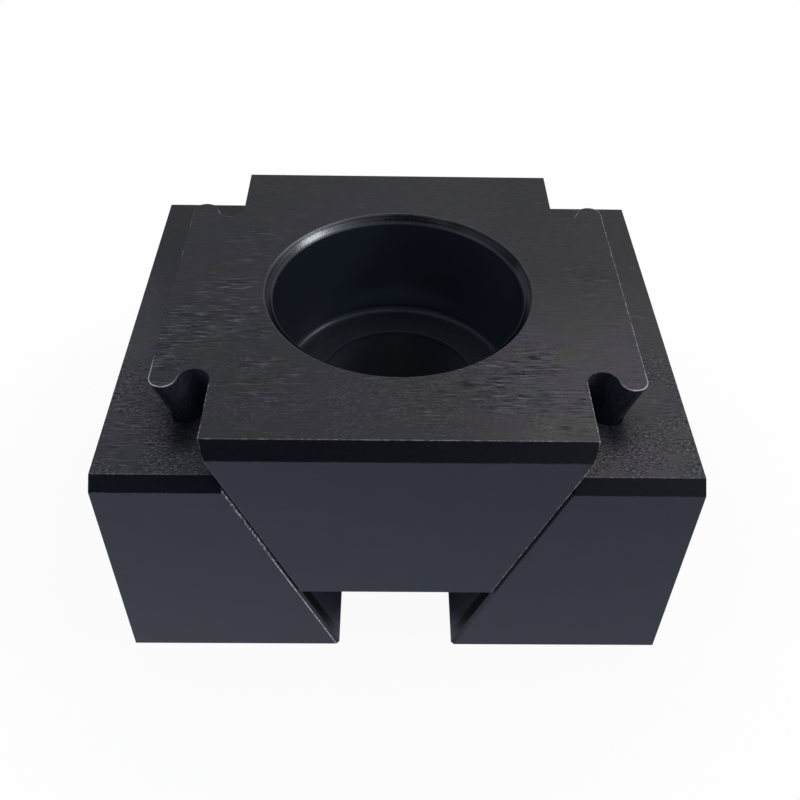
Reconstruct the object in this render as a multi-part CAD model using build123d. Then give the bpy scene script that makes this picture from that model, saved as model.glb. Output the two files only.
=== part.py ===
"""Side vise: a double-wedge clamp, made of one wedge block and two jaws.

The wedge block carries a key on each inclined side, and each jaw slides along it in a slot of the
same outline. A screw through the wedge draws it down between the jaws and drives them apart.
The clamp is modelled slack, with the wedge raised. The origin is the centre of the base that the
jaws stand on, +X points along the clamping direction and +Z up. Sizes are in millimetres.
"""

from build123d import *
import os
from math import atan2, cos, pi, radians, sin, tan

# Whole clamp
clamp_length = 54.0         # over the two clamping faces
clamp_depth = 45.4          # jaws and wedge are flush at the front and the back
jaw_height = 25.0
jaw_top_chamfer = 1.15      # 45 degrees, along the top front and top back edges
jaw_edge_break = 0.3        # 45 degrees, along the front and back edges of the inclined face

# Wedge block
wedge_top_width = 34.1      # at its top face, without the keys
wedge_height = 20.0
wedge_rise = 4.3            # from the tops of the jaws to the top of the slack wedge
wedge_top_chamfer = 1.35    # 45 degrees, along the top front and top back edges
incline_angle = 21.2        # between each inclined face and the vertical

# Keys, measured in plan
key_reach = 5.5             # from the wedge's side to the key's end face
key_width = 30.0            # over the two rounded heads of its outline
key_head_radius = 1.3       # of the rounded head beside the end face
key_undercut = 0.3          # how much further out the groove's centre lies than the head's

# Screw seat
head_bore_diameter = 25.2
head_bore_depth = 12.8
head_bore_chamfer = 0.85
seat_fillet = 0.8
screw_hole_diameter = 17.0

# Fit between each jaw and the wedge, square to their outlines in plan
running_clearance = 0.12

cut_margin = 5.0            # how far the solid that cuts a jaw runs past its top and bottom

slope = tan(radians(incline_angle))
incline = Vector(slope, 0, 1)
wedge_top = jaw_height + wedge_rise
wedge_bottom = wedge_top - wedge_height


def wedge_half_width(height):
    """Half the wedge's width at a height above the base, without its keys."""
    return wedge_top_width / 2 - (wedge_top - height) * slope


def key_flank(side, growth):
    """The S-shaped flank of a key in plan: a groove beside the wedge, then a rounded head.

    The groove leaves the wedge's side smoothly and runs smoothly into the head, which settles its
    radius. Growth moves the flank outwards, for the slot that the key slides in.
    """
    run = key_reach - key_head_radius
    groove_radius = (run**2 + key_undercut**2 - key_head_radius**2) / (2 * key_reach)
    head = Vector(side + run, key_width / 2 - key_head_radius)
    groove = Vector(side + groove_radius, head.Y + key_undercut)
    meeting = atan2(head.Y - groove.Y, head.X - groove.X)

    def arc(centre, radius, start, end):
        angles = (start, (start + end) / 2, end)
        return ThreePointArc(*[centre + Vector(cos(a), sin(a)) * radius for a in angles])

    groove_arc = arc(groove, groove_radius - growth, -pi, meeting)
    head_arc = arc(head, key_head_radius + growth, pi + meeting, 0)
    return groove_arc, head_arc


def half_section(height, inner_x, growth=0.0):
    """Plan section of the wedge's right half at a height above the base, with its key."""
    side = wedge_half_width(height)
    corner = (side + growth, clamp_depth / 2 + growth)
    groove_arc, head_arc = key_flank(side, growth)
    side_line = Polyline((inner_x, corner[1]), corner, groove_arc @ 0)
    end_line = Line(head_arc @ 1, (side + key_reach + growth, 0))
    quarter = Curve() + [side_line, groove_arc, head_arc, end_line]
    closing_line = Line((inner_x, -corner[1]), (inner_x, corner[1]))
    return make_face(quarter + mirror(quarter, Plane.XZ) + closing_line)


def inclined_prism(bottom, top, growth=0.0):
    """The half section carried along the incline, from one height to another."""
    height = top - bottom
    inner_x = -height * slope - clamp_length
    section = Pos(0, 0, bottom) * half_section(bottom, inner_x, growth)
    return extrude(section, amount=height * incline.length, dir=incline.normalized())


def bar(half_length, bottom, top, chamfer_size):
    """Right half of a block as deep as the clamp, with chamfered top front and back edges."""
    height = top - bottom
    block = Pos(0, 0, bottom) * Box(half_length, clamp_depth, height, align=(Align.MIN, Align.CENTER, Align.MIN))
    long_edges = block.edges().filter_by(Axis.X).group_by(Axis.Z)[-1]
    return chamfer(long_edges, chamfer_size)


def make_wedge_block():
    reach = wedge_top_width / 2 + key_reach
    right_half = inclined_prism(wedge_bottom, wedge_top) & bar(reach, wedge_bottom, wedge_top, wedge_top_chamfer)
    block = right_half + mirror(right_half, Plane.YZ)
    return block - make_screw_seat()


def make_screw_seat():
    """The counterbore and screw hole, as the solid that is cut out of the wedge block."""
    to_top = (Align.CENTER, Align.CENTER, Align.MAX)
    recess = Pos(0, 0, wedge_top) * Cylinder(head_bore_diameter / 2, head_bore_depth, align=to_top)
    recess = fillet(recess.edges().group_by(Axis.Z)[0], seat_fillet)
    rim_radius = head_bore_diameter / 2 + head_bore_chamfer
    rim = Pos(0, 0, wedge_top) * Cone(head_bore_diameter / 2, rim_radius, head_bore_chamfer, align=to_top)
    hole = Pos(0, 0, wedge_top) * Cylinder(screw_hole_diameter / 2, wedge_height, align=to_top)
    return recess + rim + hole


def make_right_jaw():
    block = bar(clamp_length / 2, 0, jaw_height, jaw_top_chamfer)
    jaw = block - inclined_prism(-cut_margin, jaw_height + cut_margin, running_clearance)
    along_incline = jaw.edges().filter_by(Axis((0, 0, 0), incline)).group_by(Axis.Y)
    return chamfer(along_incline[0] + along_incline[-1], jaw_edge_break)


def main():
    right_jaw = make_right_jaw()
    nodes = {
        "wedge_block": make_wedge_block(),
        "left_jaw": mirror(right_jaw, Plane.YZ),
        "right_jaw": right_jaw,
    }
    os.makedirs("parts", exist_ok=True)
    for name, solid in nodes.items():
        export_step(solid, f"parts/{name}.step")


main()
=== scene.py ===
"""Dresses the side vise: ground and blackened steel with worn edges, on a white floor.

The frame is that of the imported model: the origin is the centre of the base, +X runs along the
clamping direction and +Z up. Objects are in metres, and materials are laid out in millimetres.
"""

from functools import reduce
from math import cos, radians, sin, tan

import bpy
from mathutils import Matrix, Vector

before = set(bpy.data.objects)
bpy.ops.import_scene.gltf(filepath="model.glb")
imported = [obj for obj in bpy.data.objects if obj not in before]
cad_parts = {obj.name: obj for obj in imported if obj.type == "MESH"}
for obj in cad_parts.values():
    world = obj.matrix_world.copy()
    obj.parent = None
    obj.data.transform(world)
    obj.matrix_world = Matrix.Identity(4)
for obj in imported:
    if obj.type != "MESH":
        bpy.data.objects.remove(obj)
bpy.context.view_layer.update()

MM = 0.001
WHITE = (1, 1, 1, 1)

# Camera, fitted to the photograph
CAMERA_PLACE = Vector((-1.133, -77.143, 87.333)) * MM
CAMERA_PITCH = radians(43.702)      # below the horizon
CAMERA_YAW = radians(1.136)         # from +Y towards +X
CAMERA_ROLL = radians(-1.254)
LENS = 42.946                       # focal length and film width, in millimetres
SENSOR = 36.0
NEAREST_SEEN = 5 * MM

# Room. A side is the middle of a cone, and its cosines say where a change starts and is full
ROOM = (1.00, 1.02, 1.12, 1)
WARM_ROOM = (1.66, 1.57, 1.52, 1)
WARM_SIDE = Vector((0.30, 0.60, 0.74)).normalized()
WARM_CONE = (0.935, 0.99)
COOL_SIDE = Vector((-0.30, 0.63, 0.72)).normalized()
COOL_CONE = (0.80, 0.97)
COOL_SHARE = 0.66                   # share of the room's light that is left there
DIM_SIDE = Vector((-0.14, -0.68, 0.73)).normalized()
DIM_CONE = (0.74, 0.96)
DIM_SHARE = 0.03
LOW_SINES = (0.38, 0.66)            # of the height above the horizon
LOW_SHARE = 0.24

# Lamp, high on the right
LAMP_SIDE = Vector((0.763, -0.033, 0.645)).normalized()
LAMP_DISTANCE = 0.6
LAMP_SIZE = 0.205
LAMP_POWER = 0.80
LAMP_COLOUR = (1.0, 0.97, 0.94)

# Floor. Radii, spans and openings are the places between which it changes, in millimetres
FLOOR_SIZE = 6.0
FLOOR_COLOUR = (0.90, 0.905, 0.91, 1)
FLOOR_PAINTED_SHADE = (0.10, 0.105, 0.11, 1)     # painted shade under the clamp
SHADE_RADII = (16.0, 23.0)
OPEN_FRONT = (2.0, -16.0)                # from dark under the clamp to white around it, as seen
OPEN_BACK = (19.6, 25.0)
OPEN_SIDES = (12.0, 16.0)
NEAR_GLOW = 0.945                        # share of plain white in the floor that is seen
FAR_GLOW = 0.98
GLOW_RADII = (34.0, 70.0)
SHEEN = (0.81, 0.87, 0.97, 1)            # colour of the floor that the steel mirrors
LEFT_SHEEN = 0.83                        # and its strength
RIGHT_SHEEN = 0.685
SHEEN_SPAN = (-40.0, 40.0)
UNDER_SHEEN = 0.05                       # share of that strength under the clamp, a painted shade in what the steel mirrors there
UNDER_RADII = (18.0, 25.0)

# Colours of the steel
GROUND_COOL = (0.0112, 0.0118, 0.0138, 1)      # the tops wander between these three
GROUND_PURPLE = (0.0150, 0.0112, 0.0162, 1)
GROUND_OLIVE = (0.0136, 0.0136, 0.0104, 1)
FACE = (0.0098, 0.0132, 0.0285, 1)             # front, back and clamping faces
DEEP = (0.0014, 0.0024, 0.0050, 1)             # chamfers, and painted shade in the joints' crevices and before the openings
# painted light: the left jaw's chamfers are lighter than the right jaw's, for the light they mirror
LEFT_CHAMFER_PAINTED_LIGHT = (0.0028, 0.0040, 0.0090, 1)
FLANK = (0.0170, 0.0190, 0.0290, 1)            # inside the openings and on the inclined faces
# painted light in the counterbore: its seat and, still more, its hole are lighter than its wall, for
# light that reaches down there
BORE = (0.0120, 0.0165, 0.0255, 1)
SEAT = (0.0205, 0.0240, 0.0320, 1)
HOLE = (0.0440, 0.0525, 0.0695, 1)
RIM = (0.087, 0.093, 0.099, 1)
# light marks; on the brushing lines they are painted glints on real scratches
LIGHT_MARK = (0.115, 0.114, 0.124, 1)
DARK_MARK = (0.0008, 0.0009, 0.0014, 1)
BARE = (0.72, 0.72, 0.74, 1)

# Gloss of the steel
REFRACTION = 1.46
ROUGHNESS = 0.36
GLOSS = (0.90, 0.94, 1.0, 1)                   # these three are specular tints
DULL = (0.20, 0.21, 0.24, 1)                   # dark lines, pits and painted shade
SEAT_SHINE = (0.60, 0.68, 0.80, 1)
PIT_DULLNESS = 0.5                             # share of the dull tint
RIGHT_BACK_DULLNESS = 0.13

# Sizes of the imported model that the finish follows, in millimetres
HALF_LENGTH = 27.0
HALF_DEPTH = 22.7
WEDGE_TOP = 29.3
WEDGE_TOP_HALF = 17.05
WEDGE_TOP_EDGE = -21.35             # front edges of the tops, along Y
JAW_TOP_EDGE = -21.55
INCLINE = tan(radians(21.2))
SEAT_Z = 16.5
BORE_RADIUS = 12.6
RIM_RADIUS = 13.45

# Edges
EDGE_ROUNDING = 0.06 * MM
ROUNDING_STEPS = 2
SHARP_ANGLE = radians(30)
FLAT_ANGLE = radians(0.3)
WELD_DISTANCE = 0.001 * MM

# Noises: features per millimetre along X, Y and Z, octaves and roughness
NOISES = {
    "dashes": ((0.60, 6.0, 6.0), 2, 0.5),
    "clumps": ((0.45, 0.6, 0.6), 2, 0.5),
    "breaks": ((1.1, 1.8, 1.8), 1, 0.5),
    "fine_lines": ((0.9, 9.0, 9.0), 1, 0.5),
    "streaks": ((0.35, 0.9, 0.9), 3, 0.5),
    "side_lines": ((1.0, 0.30, 8.0), 2, 0.5),
    "side_streaks": ((0.9, 0.12, 1.6), 3, 0.5),
    "speckle": ((3.2, 4.6, 4.6), 2, 0.5),
    "pit_patches": ((0.22, 0.22, 0.22), 2, 0.5),
    "rubbed": ((0.30, 0.30, 0.30), 1, 0.5),
    "flecks": ((1.8, 1.8, 1.8), 2, 0.5),
    "crumbs": ((3.5, 3.5, 3.5), 2, 0.5),
    "beads": ((2.6, 2.6, 2.6), 2, 0.5),
    "dots": ((4.2, 4.2, 4.2), 1, 0.5),
    "dust": ((4.0, 4.0, 4.0), 2, 0.5),
    "grit": ((7.0, 7.0, 7.0), 1, 0.5),
    "hues": ((0.10, 0.22, 0.22), 3, 0.5),
    "olive": ((0.16, 0.26, 0.26), 2, 0.6),
    "smudges": ((0.55, 0.75, 0.75), 2, 0.6),
}
TURNING_MARKS = 9.0                 # per millimetre of radius
TURNING_OCTAVES = 2

# Patterns: a noise, two levels of it, and the values given below the one and above the other
PATTERNS = {
    "clumps": ("clumps", 0.40, 0.58, 0.30, 1.0),
    "breaks": ("breaks", 0.38, 0.58, 0.35, 1.0),
    "light_dashes": ("dashes", 0.52, 0.64, 0.0, 1.0),
    "dark_dashes": ("dashes", 0.48, 0.38, 0.0, 1.0),
    "light_pits": ("speckle", 0.53, 0.70, 0.0, 1.0),
    "dark_pits": ("speckle", 0.48, 0.34, 0.0, 1.0),
    "pit_patches": ("pit_patches", 0.36, 0.54, 0.0, 1.0),
    "crumbs": ("crumbs", 0.42, 0.56, 0.0, 1.0),
    "beads": ("beads", 0.44, 0.62, 0.0, 1.0),
    "dots": ("dots", 0.46, 0.62, 0.0, 1.0),
    "hues": ("hues", 0.40, 0.60, 0.0, 1.0),
    "olive": ("olive", 0.52, 0.66, 0.0, 1.0),
    "smudges": ("smudges", 0.64, 0.72, 0.0, 1.0),
    "streaks": ("streaks", 0.30, 0.70, 0.90, 1.10),
    "side_streaks": ("side_streaks", 0.30, 0.70, 0.78, 1.25),
    "chamfer_specks": ("beads", 0.45, 0.72, 0.90, 1.7),
    "flank_specks": ("dust", 0.35, 0.70, 0.75, 1.5),
}
TURNED_TONES = (0.35, 0.65, 0.7, 1.3)          # likewise for the turning marks on the rim
RIM_POLISH = (0.40, 0.60, 0.15, 0.27)          # likewise, and the values are roughnesses
GRIT_SHARE = 0.6                               # of grit in the polish, the rest being turning marks

# Patches of heavier brushing on the tops: x, y, reach and strength
BRUSHED = (
    (10.0, -12.5, 8.0, 1.0), (15.0, -16.5, 6.0, 0.9), (2.0, -15.0, 7.0, 0.5),
    (-15.0, -3.5, 9.0, 0.75), (-20.5, -6.0, 7.0, 0.75), (-14.5, 6.0, 7.0, 0.35),
    (-12.0, -14.5, 7.0, 0.5), (-25.0, -12.0, 7.0, 0.9), (-22.5, -18.0, 6.0, 0.7),
    (19.5, 2.0, 5.0, 0.35), (23.5, -15.0, 7.0, 0.5),
)
BRUSHED_ELSEWHERE = 0.14
PATCH_CORE = 0.3                    # share of the reach over which a patch is at full strength
WEDGE_PITS = 0.25                   # pits on the wedge, against those on the jaws


def band(measure, centre, reach):
    """Rows of a region that is full at one value and has faded out at a distance from it."""
    return (measure, centre - reach, centre), (measure, centre + reach, centre)


# Regions: rows of a measure and the values at which the share is nothing and full. The rows are
# multiplied. The measures are those of Steel.take_measures
MIDDLE = (-1.0, 1.0)                # where left gives way to right, clear of the joints and jaws
LEFT = ("X", *MIDDLE[::-1])
RIGHT = ("X", *MIDDLE)
ON_TOP = ("up", 0.85, 0.95)
OFF_TOP = ("up", 0.95, 0.85)
NEAR_WEDGE_TOP = ("Z", WEDGE_TOP - 0.5, WEDGE_TOP - 0.2)
ON_RIGHT_KEY = ("X", 19.5, 21.0)
ON_LEFT_KEY = ("X", -16.0, -17.5)
IN_BORE = ("radius", BORE_RADIUS + 0.3, BORE_RADIUS)
ON_RIM = (("radius", RIM_RADIUS + 0.02, RIM_RADIUS - 0.04), ("radius", BORE_RADIUS, BORE_RADIUS + 0.3))
ON_FILLET = (*band("Z", SEAT_Z + 0.35, 0.5), IN_BORE)
REGIONS = {
    # Faces
    "left": (LEFT,),
    "top": (ON_TOP,),
    "right_top": (RIGHT, ON_TOP),
    "right_back": (RIGHT, ("Y", 2.0, 10.0)),
    "end": (("endways", 0.60, 0.68), ("depth", HALF_DEPTH - 0.4, HALF_DEPTH - 0.3), ("up", 0.60, 0.50)),
    "clamping_face": (("sideways", 0.97, 0.99), ("width", HALF_LENGTH - 0.15, HALF_LENGTH - 0.10)),
    "between_ends": (("depth", 21.3, 21.0),),
    "pitted_part": (("Y", -1.0, -9.0),),
    # Edges of the wedge
    "right_key": (NEAR_WEDGE_TOP, ON_RIGHT_KEY),
    "right_head": (NEAR_WEDGE_TOP, ON_RIGHT_KEY, ("Y", -12.0, -13.5)),
    "right_side": (NEAR_WEDGE_TOP, ("X", 16.4, 16.8), ("X", 17.5, 17.2), ("Y", -13.6, -14.6)),
    "left_key": (NEAR_WEDGE_TOP, ON_LEFT_KEY),
    "left_head": (NEAR_WEDGE_TOP, ("X", -19.6, -20.6), ("Y", -10.5, -12.5)),
    "left_side": (NEAR_WEDGE_TOP, ("X", -16.4, -16.8), ("X", -17.5, -17.2), ("Y", -13.6, -14.6)),
    "left_key_back": (NEAR_WEDGE_TOP, ON_LEFT_KEY, ("Y", 2.0, 8.0)),
    "wedge_front": (NEAR_WEDGE_TOP, ("Y", -19.0, -20.5)),
    "wedge_back": (("Y", 8.0, 14.0),),
    "beyond_rim": (("radius", RIM_RADIUS + 0.2, RIM_RADIUS + 0.4),),
    "key_flank": (OFF_TOP, ("width", 15.5, 16.5), ("depth", 21.2, 20.9)),
    "wedge_joint": (*band("outward", -0.02, 0.10), ("Y", -22.4, -22.6)),
    # Bright joint line, and painted shade in the corners and before the openings, on the jaws
    "dotted_joint": (LEFT, *band("outward", 0.36, 0.15), ("Z", 12.0, 17.0), ("Y", -22.3, -22.45)),
    "thin_joint": (LEFT, *band("outward", 0.43, 0.08), ("Z", 17.0, 12.0), ("Y", -22.3, -22.45)),
    "left_crevice": (LEFT, ("outward", 0.33, 0.25), ("Y", -22.1, -22.3), ("Z", 9.0, 9.6), OFF_TOP),
    "right_crevice": (RIGHT, ("outward", 0.45, 0.37), ("Y", -22.1, -22.3), ("Z", 9.0, 9.6), OFF_TOP),
    "left_shade": (LEFT, *band("width", 19.4, 2.9), ("Y", -20.4, -17.0), ("Y", -6.0, -10.0), ON_TOP),
    "right_shade": (RIGHT, *band("width", 19.7, 2.6), ("Y", -19.2, -16.4), ("Y", -6.0, -10.0), ON_TOP),
    # Top front edges, broken
    "wedge_top_edge": (*band("Y", WEDGE_TOP_EDGE, 0.10), ON_TOP),
    "jaw_top_edge": (*band("Y", JAW_TOP_EDGE, 0.10), ON_TOP),
    # Counterbore, seat and hole
    "in_bore": (IN_BORE,),
    "seat": (("up", 0.20, 0.40), ("Z", SEAT_Z + 0.2, SEAT_Z + 0.05), IN_BORE),
    "below_seat": (("Z", SEAT_Z - 0.1, SEAT_Z - 1.0),),
    "low_wall": (("Z", 21.5, 18.2), ("Z", 17.1, 17.6), *band("X", 1.0, 11.0)),
    "fillet": ON_FILLET,
    "fillet_beside_glint": (*ON_FILLET, ("X", -8.8, -6.6), ("X", -1.0, -4.5)),
    "fillet_right": (*ON_FILLET, ("X", 2.5, 8.0)),
    # Chamfer at the rim
    "rim": ON_RIM,
    "rim_outline": band("radius", RIM_RADIUS + 0.02, 0.10),
    # painted shade: a dark ring on the chamfer where its two facets meet
    "rim_dark_ring": (*band("radius", RIM_RADIUS - 0.22, 0.12), *ON_RIM),
    "rim_back": (*band("X", -4.4, 3.2), ("Y", 9.0, 11.0)),
    "rim_right": (("X", 3.5, 7.0), ("Y", 2.0, 6.0)),
}

# Tones: a measure, two values of it, and the factors that the colour takes there
TONES = {
    "wedge_right": ("Y", 4.0, -16.0, 0.30, 2.7),
    # painted light: lightens the left jaw's top where the wedge shades it from the lamp
    "left_jaw": ("Y", 15.0, -6.0, 0.6, 3.3),
    "left_jaw_front": ("Y", -10.0, -18.0, 1.0, 0.45),
    "right_jaw": ("Y", 16.0, -18.0, 0.3, 2.0),
    # painted light: the flanks lighter near the inclined faces, deep in the openings, where little
    # light reaches
    "recess_painted_light": ("outward", 1.9, 0.5, 1.0, 3.4),
    # painted light and shade in the counterbore and on the rim
    "bore_back": ("Y", -4.0, 8.0, 0.9, 2.0),
    "bore_left": ("X", -12.0, -3.0, 0.62, 1.0),
    "seat_left": ("X", -11.0, -3.0, 0.45, 1.0),
    "rim_left": ("X", -10.5, -12.5, 1.0, 1.30),
}
WEDGE_RIGHT_PART = (6.0, 14.0)                 # where the wedge's right tone comes in, along X
# painted light and shade in the counterbore: a painted highlight on the fillet, darker on its right,
# and a lighter low wall
BORE_PAINTED_LIGHT_AND_SHADE = {"fillet": 1.6, "fillet_right": 0.50, "low_wall": 2.4}
# painted shade on the rim's chamfer, at the back and on the right
RIM_PAINTED_SHADE = {"rim_back": 0.62, "rim_right": 0.22}
SMUDGE_TONES = (1.0, 2.2)
SPOT_SHARE = 0.30                              # of light marks in the right jaw's smudges
SIDE_HUE_SHARE = 0.35
OUTLINE_SHARE = 0.35
DARK_RING_SHARE = 0.45

# Wear. The bend of a bevelled normal tells edges from flat faces
WEAR_REACH = 0.18 * MM
WEAR_SAMPLES = 6
SHARP_BEND = (0.02, 0.10)
SOFT_BEND = (0.004, 0.035)
RUBBED_SHARE = 0.5
FLECKS_SHARE = 0.6
WORN_LEVELS = (0.58, 0.68)
EXTRA_WEAR = {                                 # the largest of these counts
    "right_key": 0.22,
    "left_head": 0.26,
    "wedge_front": 0.15,
    "left_side": 0.16,
    "right_side": 0.26,
}
LEFT_KEY_BACK_WEAR = 0.14                      # and these three are added to it
LEFT_KEY_WEAR = -0.06
BACK_WEAR = -0.10
BEADED = (0.25, 1.0)                           # strength of a line between its beads and at them
CRUMBLED = (0.5, 1.0)                          # and the same for crumbs
LEFT_JOINT_WEAR = 0.12
RIGHT_JOINT_WEAR = (0.12, 1.07)
DOTTED_JOINT_WEAR = (0.10, 0.80)
WEDGE_TOP_WEAR = (0.10, 0.42)
JAW_TOP_WEAR = (0.05, 0.30)
LEFT_SHADE_SHARE = 0.85                        # of painted shade before the openings
RIGHT_SHADE_SHARE = 0.65

# Relief: heights as shares of its depth
RELIEF_DEPTH = 0.070 * MM
BRUSHED_RELIEF = 1.3
TOP_RELIEF = 0.15
FINE_RELIEF = (0.12, 0.02)                     # off and on the front and back faces
CLAMPING_FACE_RELIEF = 0.35
PIT_RELIEF = (0.04, 1.14)                      # off and on the pitted part


class Shader:
    """A material or world whose node tree is built up by short calls."""

    def __init__(self, owner):
        owner.use_nodes = True
        self.nodes = owner.node_tree.nodes
        self.links = owner.node_tree.links
        self.nodes.clear()

    def node(self, kind, inputs=(), **settings):
        made = self.nodes.new("ShaderNode" + kind)
        for name, value in settings.items():
            setattr(made, name, value)
        for name, value in dict(inputs).items():
            self.put(made.inputs[name], value)
        return made

    def put(self, socket, value):
        if isinstance(value, bpy.types.NodeSocket):
            self.links.new(value, socket)
        else:
            socket.default_value = value

    def math(self, operation, a, b=0.0, clamp=False):
        return self.node("Math", {0: a, 1: b}, operation=operation, use_clamp=clamp).outputs[0]

    def add(self, a, b, clamp=False):
        return self.math("ADD", a, b, clamp)

    def minus(self, a, b):
        return self.math("SUBTRACT", a, b)

    def multiply(self, *values):
        return reduce(lambda a, b: self.math("MULTIPLY", a, b), values)

    def most(self, *values):
        """The largest of several values."""
        return reduce(lambda a, b: self.math("MAXIMUM", a, b), values)

    def absolute(self, a):
        return self.math("ABSOLUTE", a)

    def inverse(self, share):
        return self.minus(1.0, share)

    def step(self, value, low, high, to_low=0.0, to_high=1.0):
        """Smooth step from one value to another as the input goes from low to high."""
        inputs = {"Value": value, "From Min": low, "From Max": high,
                  "To Min": to_low, "To Max": to_high}
        return self.node("MapRange", inputs, interpolation_type="SMOOTHSTEP").outputs["Result"]

    def spread(self, share, low, high):
        """Goes straight from low to high as the share goes from nothing to full."""
        return self.add(self.multiply(share, high - low), low)

    def split(self, vector):
        return self.node("SeparateXYZ", {0: vector}).outputs

    def stretch(self, vector, factors):
        return self.node("VectorMath", {0: vector, 1: factors}, operation="MULTIPLY").outputs[0]

    def dot(self, a, b):
        return self.node("VectorMath", {0: a, 1: b}, operation="DOT_PRODUCT").outputs["Value"]

    def length(self, vector):
        return self.node("VectorMath", {0: vector}, operation="LENGTH").outputs["Value"]

    def in_millimetres(self, metres):
        return self.node("VectorMath", {0: metres, "Scale": 1 / MM}, operation="SCALE").outputs[0]

    def noise(self, place, octaves, roughness=0.5):
        inputs = {"Vector": place, "Scale": 1.0, "Detail": octaves, "Roughness": roughness}
        return self.node("TexNoise", inputs).outputs["Fac"]

    def tint(self, colour, factor):
        """A colour made lighter or darker by a factor."""
        parts = colour[:3] if isinstance(colour, tuple) else colour
        return self.node("VectorMath", {0: parts, "Scale": factor}, operation="SCALE").outputs[0]

    def mix(self, share, a, b):
        """One colour where the share is nothing, and another where it is full."""
        return self.node("Mix", {0: share, 6: a, 7: b}, data_type="RGBA").outputs[2]


class Steel(Shader):
    """Blackened steel: ground on its flat faces, brushed along X on top, bare where its edges rub."""

    def __init__(self, name, is_wedge):
        self.material = bpy.data.materials.new(name)
        super().__init__(self.material)
        self.is_wedge = is_wedge
        self.made = {}
        self.take_measures()
        self.brush()
        self.pit()
        self.rub()
        relief = self.make_relief()
        colour = self.colour_faces()
        metal, roughness = self.worn, ROUGHNESS
        if is_wedge:
            colour = self.colour_bore(colour)
            metal = self.most(self.worn, self.region("rim"))
            roughness = self.polish_rim()
        inputs = {"Base Color": self.mark(colour), "Metallic": metal, "Roughness": roughness,
                  "IOR": REFRACTION, "Specular Tint": self.shine, "Normal": relief}
        surface = self.node("BsdfPrincipled", inputs)
        self.node("OutputMaterial", {"Surface": surface.outputs[0]})

    def take_measures(self):
        """Where a point lies on the object at rest, in millimetres, and which way it faces."""
        coordinates = self.node("TexCoord").outputs
        self.place = self.in_millimetres(coordinates["Object"])
        at = self.split(self.place)
        facing = self.split(coordinates["Normal"])
        width = self.absolute(at["X"])
        below_top = self.minus(WEDGE_TOP, at["Z"])
        self.flat_place = self.stretch(self.place, (1, 1, 0))
        self.measures = {
            "X": at["X"],
            "Y": at["Y"],
            "Z": at["Z"],
            "width": width,
            "depth": self.absolute(at["Y"]),
            "radius": self.length(self.flat_place),
            "outward": self.add(self.add(width, -WEDGE_TOP_HALF), self.multiply(below_top, INCLINE)),
            "up": facing["Z"],
            "endways": self.absolute(facing["Y"]),
            "sideways": self.absolute(facing["X"]),
        }

    def once(self, key, make):
        """What a function makes, made the first time only."""
        if key not in self.made:
            self.made[key] = make()
        return self.made[key]

    def noise_named(self, name):
        scale, octaves, roughness = NOISES[name]

        def make():
            return self.noise(self.stretch(self.place, scale), octaves, roughness)
        return self.once(("noise", name), make)

    def pattern(self, name):
        noise, *levels = PATTERNS[name]

        def make():
            return self.step(self.noise_named(noise), *levels)
        return self.once(("pattern", name), make)

    def region(self, name):
        """The share of a region: one inside it and nothing outside, with smooth borders."""
        def make():
            steps = [self.step(self.measures[measure], *levels) for measure, *levels in REGIONS[name]]
            return self.multiply(*steps)
        return self.once(("region", name), make)

    def tone(self, name):
        measure, *levels = TONES[name]
        return self.step(self.measures[measure], *levels)

    def tones_within(self, factors):
        """The product of factors that each hold inside a region, and are one outside it."""
        return self.multiply(*[self.step(self.region(name), 0.0, 1.0, 1.0, factor)
                               for name, factor in factors.items()])

    def left_right(self, left, right):
        """One value on the left of the clamp, and another on the right."""
        return self.step(self.measures["X"], *MIDDLE, left, right)

    def brush(self):
        """Short lines along X on the tops, light and dark, heavier in patches. The light ones are real
        scratches with a painted glint.
        """
        patches = BRUSHED_ELSEWHERE
        for x, y, reach, strength in BRUSHED:
            offset = self.node("VectorMath", {0: self.flat_place, 1: (x, y, 0)}, operation="SUBTRACT")
            away = self.length(offset.outputs[0])
            patches = self.most(patches, self.step(away, reach * PATCH_CORE, reach, strength, 0.0))
        gathered = self.multiply(patches, self.pattern("clumps"), self.pattern("breaks"))
        self.brushed = self.multiply(self.region("top"), gathered)
        self.light_dash = self.multiply(self.pattern("light_dashes"), self.brushed)
        self.dark_dash = self.multiply(self.pattern("dark_dashes"), self.brushed)
        self.shine = self.mix(self.dark_dash, GLOSS, DULL)

    def pit(self):
        """Fine pits on the front part of the tops, mostly on the jaws."""
        share = WEDGE_PITS if self.is_wedge else 1.0
        where = self.multiply(self.region("top"), self.region("pitted_part"), share)
        self.pitted = self.multiply(self.pattern("pit_patches"), where)
        self.light_pit = self.multiply(self.pattern("light_pits"), self.pitted)
        self.dark_pit = self.multiply(self.pattern("dark_pits"), self.pitted)
        self.shine = self.mix(self.multiply(self.dark_pit, PIT_DULLNESS), self.shine, DULL)

    def rub(self):
        """Bare steel along edges and joints, in broken lines."""
        bevel = self.node("Bevel", {"Radius": WEAR_REACH}, samples=WEAR_SAMPLES)
        bend = self.inverse(self.dot(bevel.outputs[0], self.node("NewGeometry").outputs["Normal"]))
        rubbed = self.multiply(self.noise_named("rubbed"), RUBBED_SHARE)
        wear = self.add(rubbed, self.multiply(self.noise_named("flecks"), FLECKS_SHARE))
        if self.is_wedge:
            wear = self.wear_of_wedge(wear)
            full = self.most(self.region("left_head"), self.region("right_head"))
            joint = self.joint_on_wedge()
            top_edge, top_wear = "wedge_top_edge", WEDGE_TOP_WEAR
            self.shine = self.mix(self.region("key_flank"), self.shine, DULL)
        else:
            full = 0.0
            joint = self.joint_on_jaws()
            top_edge, top_wear = "jaw_top_edge", JAW_TOP_WEAR
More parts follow.
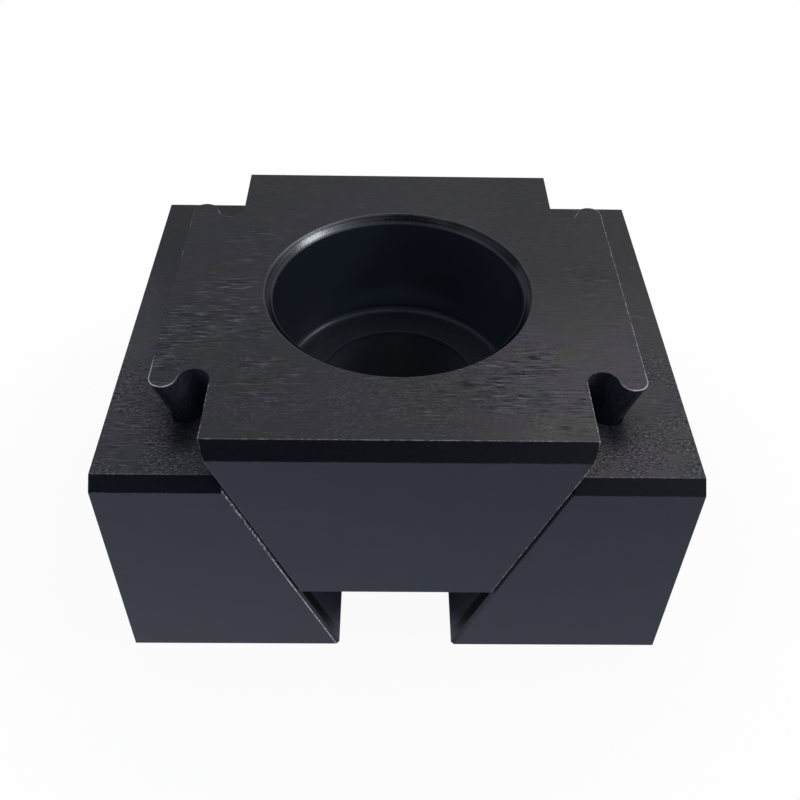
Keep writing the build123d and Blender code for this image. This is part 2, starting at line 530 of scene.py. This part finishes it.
            # painted shade before the openings and in the joints' crevices
            self.painted_shade = self.make_painted_shade()
            right_back = self.multiply(self.region("right_back"), RIGHT_BACK_DULLNESS)
            self.shine = self.mix(self.most(self.painted_shade, right_back), self.shine, DULL)
        along_top = self.multiply(self.region(top_edge), self.spread(self.pattern("beads"), *top_wear))
        strength = self.most(self.spread(self.pattern("beads"), *BEADED), full)
        narrow = self.multiply(self.step(bend, *SHARP_BEND), self.step(wear, *WORN_LEVELS), strength)
        crumbled = self.spread(self.pattern("crumbs"), *CRUMBLED)
        wide = self.multiply(self.step(bend, *SOFT_BEND), full, crumbled)
        self.worn = self.most(narrow, wide, joint, along_top)
        self.shine = self.mix(self.worn, self.shine, WHITE)

    def wear_of_wedge(self, wear):
        extra = self.most(*[self.multiply(self.region(name), amount)
                            for name, amount in EXTRA_WEAR.items()])
        extra = self.add(extra, self.multiply(self.region("left_key_back"), LEFT_KEY_BACK_WEAR))
        extra = self.add(extra, self.multiply(self.region("left_key"), LEFT_KEY_WEAR))
        back = self.multiply(self.inverse(self.region("right_key")), self.region("wedge_back"))
        extra = self.add(extra, self.multiply(back, BACK_WEAR))
        return self.multiply(self.add(wear, extra), self.region("beyond_rim"))

    def joint_on_wedge(self):
        right = self.spread(self.pattern("beads"), *RIGHT_JOINT_WEAR)
        return self.multiply(self.region("wedge_joint"), self.left_right(LEFT_JOINT_WEAR, right))

    def joint_on_jaws(self):
        dotted = self.spread(self.pattern("dots"), *DOTTED_JOINT_WEAR)
        crumbled = self.spread(self.pattern("crumbs"), *CRUMBLED)
        return self.add(self.multiply(self.region("dotted_joint"), dotted),
                        self.multiply(self.region("thin_joint"), crumbled))

    def make_painted_shade(self):
        """Painted shade: dark corners along the joints' front lines, and on the tops before the
        openings.
        """
        left_shade = self.multiply(self.region("left_shade"), LEFT_SHADE_SHARE)
        right_shade = self.multiply(self.region("right_shade"), RIGHT_SHADE_SHARE)
        crevices = self.most(self.region("left_crevice"), self.region("right_crevice"))
        return self.most(left_shade, right_shade, crevices)

    def make_relief(self):
        brushing = self.multiply(self.region("top"), TOP_RELIEF)
        brushing = self.add(brushing, self.multiply(self.brushed, BRUSHED_RELIEF))
        fine = self.step(self.region("end"), 0.0, 1.0, *FINE_RELIEF)
        lines = self.multiply(self.region("clamping_face"), CLAMPING_FACE_RELIEF)
        pitted = self.pitted if self.is_wedge else self.multiply(self.pitted, self.inverse(self.painted_shade))
        heights = (
            self.multiply(self.noise_named("dashes"), brushing),
            self.multiply(self.noise_named("fine_lines"), fine),
            self.multiply(self.noise_named("side_lines"), lines),
            self.multiply(self.noise_named("speckle"), self.spread(pitted, *PIT_RELIEF)),
        )
        inputs = {"Height": reduce(self.add, heights), "Distance": RELIEF_DEPTH, "Strength": 1.0}
        return self.node("Bump", inputs).outputs[0]

    def colour_faces(self):
        ground = self.mix(self.pattern("hues"), GROUND_COOL, GROUND_PURPLE)
        ground = self.mix(self.pattern("olive"), ground, GROUND_OLIVE)
        if self.is_wedge:
            right = self.step(self.measures["X"], *WEDGE_RIGHT_PART, 1.0, self.tone("wedge_right"))
            ground = self.tint(ground, right)
            chamfer = DEEP
        else:
            # painted light: the left jaw's top is lightened where the wedge shades it from the lamp,
            # and its front end darkened
            left = self.multiply(self.tone("left_jaw"), self.tone("left_jaw_front"))
            ground = self.tint(ground, self.left_right(left, self.tone("right_jaw")))
            ground = self.tint(ground, self.spread(self.pattern("smudges"), *SMUDGE_TONES))
            # painted light: the left jaw's chamfers lighter than the right jaw's
            chamfer = self.mix(self.region("left"), DEEP, LEFT_CHAMFER_PAINTED_LIGHT)
        ground = self.tint(ground, self.pattern("streaks"))
        chamfer = self.tint(chamfer, self.pattern("chamfer_specks"))
        # painted light: the flanks lighter deep in the openings
        flank = self.tint(FLANK, self.multiply(self.pattern("flank_specks"), self.tone("recess_painted_light")))
        side = self.mix(self.multiply(self.pattern("hues"), SIDE_HUE_SHARE), FACE, GROUND_PURPLE)
        side = self.tint(side, self.pattern("side_streaks"))
        colour = self.mix(self.region("between_ends"), chamfer, flank)
        colour = self.mix(self.region("top"), colour, ground)
        colour = self.mix(self.region("clamping_face"), colour, side)
        return self.mix(self.region("end"), colour, self.tint(FACE, self.pattern("streaks")))

    def colour_bore(self, colour):
        """Counterbore, seat and hole, and the turned chamfer at the rim, with painted light and shade
        for how light falls there.
        """
        # painted light and shade: the wall lighter towards the back and low down, darker on the left,
        # with a painted highlight on the fillet; the seat darker on the left; the hole lighter
        tones = self.tone("bore_back"), self.tone("bore_left"), self.tones_within(BORE_PAINTED_LIGHT_AND_SHADE)
        wall = self.tint(BORE, self.multiply(*tones))
        bore = self.mix(self.region("seat"), wall, self.tint(SEAT, self.tone("seat_left")))
        bore = self.mix(self.region("below_seat"), bore, HOLE)
        colour = self.mix(self.region("in_bore"), colour, bore)
        self.shine = self.mix(self.region("seat"), self.shine, SEAT_SHINE)
        calm = self.most(self.region("fillet_beside_glint"), self.region("fillet_right"))
        self.shine = self.mix(calm, self.shine, DULL)

        rings = self.node("CombineXYZ", {"X": self.multiply(self.measures["radius"], TURNING_MARKS)})
        self.turned = self.noise(rings.outputs[0], TURNING_OCTAVES)
        # painted light and shade on the rim's chamfer: lighter on the far left, darker at the back and
        # on the right
        rim = self.multiply(self.tone("rim_left"), self.tones_within(RIM_PAINTED_SHADE))
        rim = self.tint(RIM, self.multiply(rim, self.step(self.turned, *TURNED_TONES)))
        colour = self.mix(self.region("rim"), colour, rim)
        colour = self.mix(self.multiply(self.region("rim_outline"), OUTLINE_SHARE), colour, LIGHT_MARK)
        # painted shade: a dark ring where the chamfer's two facets meet
        return self.mix(self.multiply(self.region("rim_dark_ring"), DARK_RING_SHARE), colour, DARK_MARK)

    def polish_rim(self):
        grit = self.multiply(self.noise_named("grit"), GRIT_SHARE)
        polish = self.step(self.add(grit, self.multiply(self.turned, 1 - GRIT_SHARE)), *RIM_POLISH)
        elsewhere = self.multiply(self.inverse(self.region("rim")), ROUGHNESS)
        return self.add(self.multiply(self.region("rim"), polish), elsewhere)

    def mark(self, colour):
        """Lays brushing lines (the light ones with a painted glint), pits, painted shade and bare steel
        over a colour.
        """
        colour = self.mix(self.dark_dash, colour, DARK_MARK)
        # light brushing lines: real scratches with a painted glint
        colour = self.mix(self.light_dash, colour, LIGHT_MARK)
        colour = self.mix(self.dark_pit, colour, DARK_MARK)
        colour = self.mix(self.light_pit, colour, LIGHT_MARK)
        if not self.is_wedge:
            spots = self.multiply(self.pattern("smudges"), self.region("right_top"), SPOT_SHARE)
            colour = self.mix(spots, colour, LIGHT_MARK)
            # painted shade before the openings and in the joints' crevices
            colour = self.mix(self.painted_shade, colour, DEEP)
        return self.mix(self.worn, colour, BARE)


def make_camera():
    level = Vector((sin(CAMERA_YAW), cos(CAMERA_YAW), 0))
    forward = level * cos(CAMERA_PITCH) - Vector((0, 0, sin(CAMERA_PITCH)))
    level_right = Vector((cos(CAMERA_YAW), -sin(CAMERA_YAW), 0))
    level_down = forward.cross(level_right)
    right = level_right * cos(CAMERA_ROLL) + level_down * sin(CAMERA_ROLL)
    up = level_right * sin(CAMERA_ROLL) - level_down * cos(CAMERA_ROLL)
    turn = Matrix((right, up, -forward)).transposed()
    data = bpy.data.cameras.new("camera")
    data.lens = LENS
    data.sensor_width = SENSOR
    data.clip_start = NEAREST_SEEN
    camera = bpy.data.objects.new("camera", data)
    camera.matrix_world = Matrix.Translation(CAMERA_PLACE) @ turn.to_4x4()
    bpy.context.scene.collection.objects.link(camera)
    bpy.context.scene.camera = camera


def make_world():
    """A pale room, dim near its horizon and above the front, and brighter behind on the right."""
    world = bpy.data.worlds.new("room")
    bpy.context.scene.world = world
    shader = Shader(world)
    direction = shader.node("TexCoord").outputs["Generated"]
    colour = shader.mix(shader.step(shader.dot(direction, WARM_SIDE), *WARM_CONE), ROOM, WARM_ROOM)
    cool = shader.step(shader.dot(direction, COOL_SIDE), *COOL_CONE, 1.0, COOL_SHARE)
    low = shader.step(shader.split(direction)["Z"], *LOW_SINES, LOW_SHARE, 1.0)
    dim = shader.step(shader.dot(direction, DIM_SIDE), *DIM_CONE, 1.0, DIM_SHARE)
    colour = shader.tint(colour, shader.multiply(cool, low, dim))
    colour = shader.mix(shader.node("LightPath").outputs["Is Camera Ray"], colour, WHITE)
    light = shader.node("Background", {"Color": colour})
    shader.node("OutputWorld", {"Surface": light.outputs[0]})


def make_lamp():
    data = bpy.data.lights.new("right_lamp", "AREA")
    data.shape = "DISK"
    data.size = LAMP_SIZE
    data.energy = LAMP_POWER
    data.color = LAMP_COLOUR
    lamp = bpy.data.objects.new("right_lamp", data)
    lamp.location = LAMP_SIDE * LAMP_DISTANCE
    lamp.rotation_euler = LAMP_SIDE.to_track_quat("Z", "Y").to_euler()
    bpy.context.scene.collection.objects.link(lamp)


def make_floor():
    """A white floor that keeps the clamp's shadow, with painted shade in the space under the clamp."""
    bpy.ops.mesh.primitive_plane_add(size=FLOOR_SIZE)
    floor = bpy.context.object
    floor.name = "floor"
    material = bpy.data.materials.new("floor")
    shader = Shader(material)
    place = shader.in_millimetres(shader.node("TexCoord").outputs["Object"])
    at = shader.split(place)
    radius = shader.length(place)
    rays = shader.node("LightPath").outputs
    outside = shader.most(shader.step(at["Y"], *OPEN_FRONT), shader.step(at["Y"], *OPEN_BACK),
                          shader.step(shader.absolute(at["X"]), *OPEN_SIDES))
    seen_glow = shader.step(radius, *GLOW_RADII, NEAR_GLOW, FAR_GLOW)
    seen = shader.multiply(rays["Is Camera Ray"], outside, seen_glow)
    mirrored = shader.add(rays["Is Glossy Ray"], rays["Is Transmission Ray"], clamp=True)
    # the glow that the steel mirrors, with painted shade under the clamp
    sheen = shader.multiply(shader.step(at["X"], *SHEEN_SPAN, LEFT_SHEEN, RIGHT_SHEEN),
                            shader.step(radius, *UNDER_RADII, UNDER_SHEEN, 1.0))
    # painted shade: the floor is darker under the clamp
    colour = shader.mix(shader.step(radius, *SHADE_RADII), FLOOR_PAINTED_SHADE, FLOOR_COLOUR)
    diffuse = shader.node("BsdfDiffuse", {"Color": colour})
    glow = shader.node("Emission", {"Color": shader.mix(mirrored, WHITE, shader.tint(SHEEN, sheen))})
    share = shader.add(seen, mirrored, clamp=True)
    both = shader.node("MixShader", {0: share, 1: diffuse.outputs[0], 2: glow.outputs[0]})
    shader.node("OutputMaterial", {"Surface": both.outputs[0]})
    floor.data.materials.append(material)


def dress(node, material):
    """Gives a node its material and takes the sharpness off its edges."""
    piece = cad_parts[node]
    piece.data.materials.clear()
    piece.data.materials.append(material)
    piece.modifiers.new("weld", "WELD").merge_threshold = WELD_DISTANCE
    flats = piece.modifiers.new("flats", "DECIMATE")
    flats.decimate_type = "DISSOLVE"
    flats.angle_limit = FLAT_ANGLE
    rounding = piece.modifiers.new("rounding", "BEVEL")
    rounding.width = EDGE_ROUNDING
    rounding.segments = ROUNDING_STEPS
    rounding.limit_method = "ANGLE"
    rounding.angle_limit = SHARP_ANGLE
    shading = piece.modifiers.new("shading", "WEIGHTED_NORMAL")
    shading.keep_sharp = True


make_camera()
make_world()
make_lamp()
make_floor()
wedge_steel = Steel("black_oxide_wedge", is_wedge=True).material
jaw_steel = Steel("black_oxide_jaws", is_wedge=False).material
dress("wedge_block", wedge_steel)
dress("left_jaw", jaw_steel)
dress("right_jaw", jaw_steel)
bpy.context.scene.view_settings.view_transform = "Standard"
